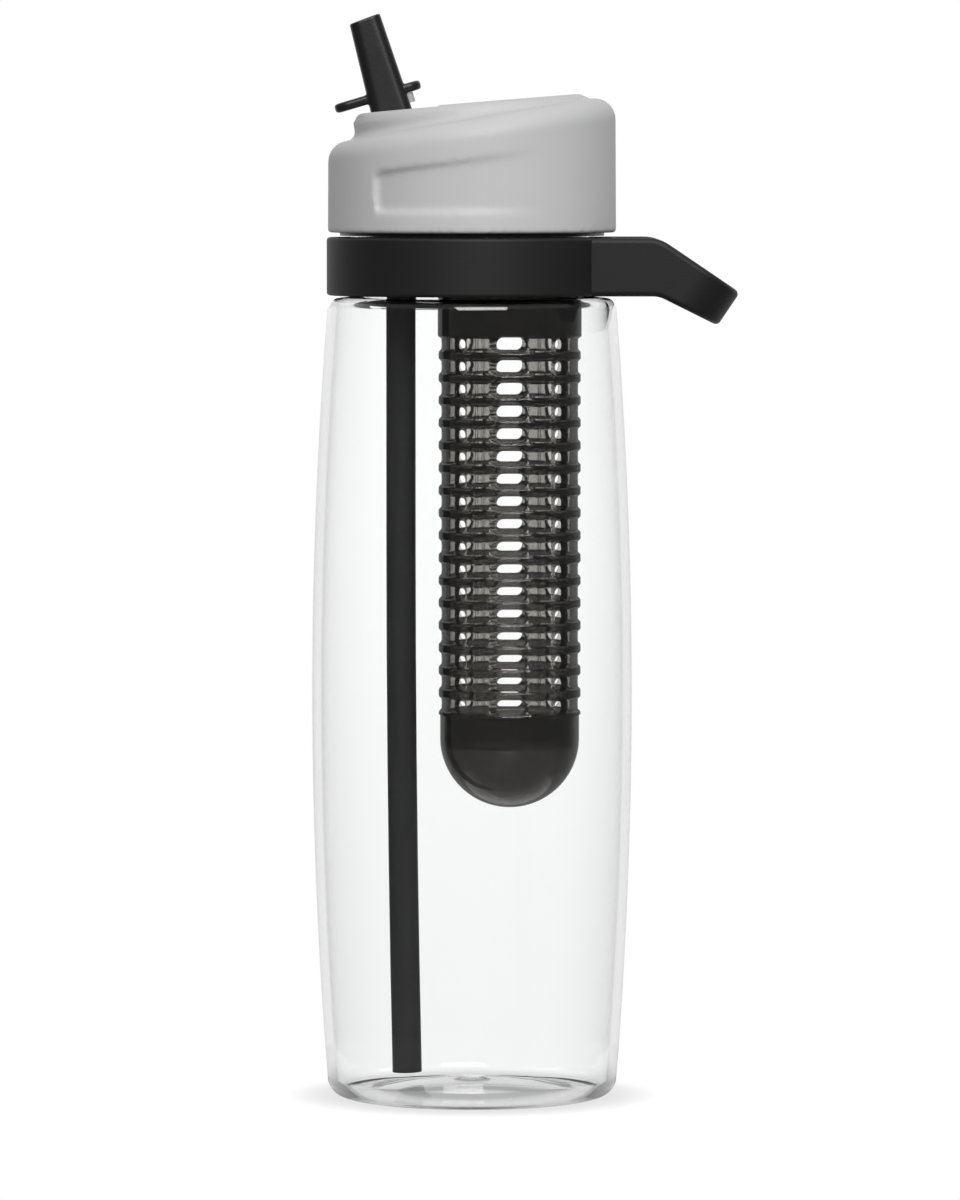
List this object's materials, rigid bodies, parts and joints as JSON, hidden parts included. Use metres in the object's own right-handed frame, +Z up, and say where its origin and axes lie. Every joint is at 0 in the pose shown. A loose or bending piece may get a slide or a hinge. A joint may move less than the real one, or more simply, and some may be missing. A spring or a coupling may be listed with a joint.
{
  "type": "fruit infuser water bottle",
  "caption": "Clear barrel-sided water bottle with a carry loop round its neck, a slanted screw lid with a flip spout and straw, and a slotted fruit basket hanging inside.",
  "frame": {"origin": "on the bottle's axis, in the plane of the foot ring that it stands on", "axes": "+Z up along the bottle's axis; +X towards the carry loop as shown, with the spout over -X; +Y away from the side that the picture shows"},
  "size_m": [0.1008, 0.076, 0.2573],
  "materials": {
    "clear_plastic": "clear, polished",
    "black_rubber": "matte",
    "grey_plastic": "fine matte",
    "black_plastic": "satin",
    "spout_plastic": "satin",
    "silicone": "translucent, matte",
    "smoke_plastic": "smoke-tinted, polished"
  },
  "bodies": {
    "bottle": {"bottle_body": "clear_plastic"},
    "band": {"carry_band": "black_rubber"},
    "gasket": {"lid_gasket": "silicone"},
    "lid": {"lid_shell": "grey_plastic", "lid_liner": "black_plastic", "vent_valve": "silicone", "spout_seal": "silicone", "straw": "black_plastic"},
    "flip_spout": {"spout": "spout_plastic", "flow_tube": "silicone"},
    "infuser": {"infuser_basket": "smoke_plastic"},
    "infuser_cap": {"infuser_end_cap": "smoke_plastic"}
  },
  "joints": [
    {"name": "band_swivel", "type": "hinge", "parent": "bottle", "child": "band", "pos_m": [0, 0, 0.1977], "axis": [0, 0, 1], "continuous": true},
    {"name": "lid_lift", "type": "slide", "parent": "bottle", "child": "gasket", "axis": [0, 0, 1], "range_m": [0, 0.215]},
    {"name": "lid_turn", "type": "hinge", "parent": "gasket", "child": "lid", "pos_m": [0, 0, 0.2134], "axis": [0, 0, 1], "range_deg": [0, 450]},
    {"name": "spout_flip", "type": "hinge", "parent": "lid", "child": "flip_spout", "pos_m": [-0.0179, 0, 0.2299], "axis": [0, 1, 0], "range_deg": [0, 101]},
    {"name": "infuser_pull", "type": "slide", "parent": "lid", "child": "infuser", "axis": [0, 0, -1], "range_m": [0, 0.035]},
    {"name": "cap_pull", "type": "slide", "parent": "infuser", "child": "infuser_cap", "axis": [0, 0, -1], "range_m": [0, 0.012]}
  ]
}
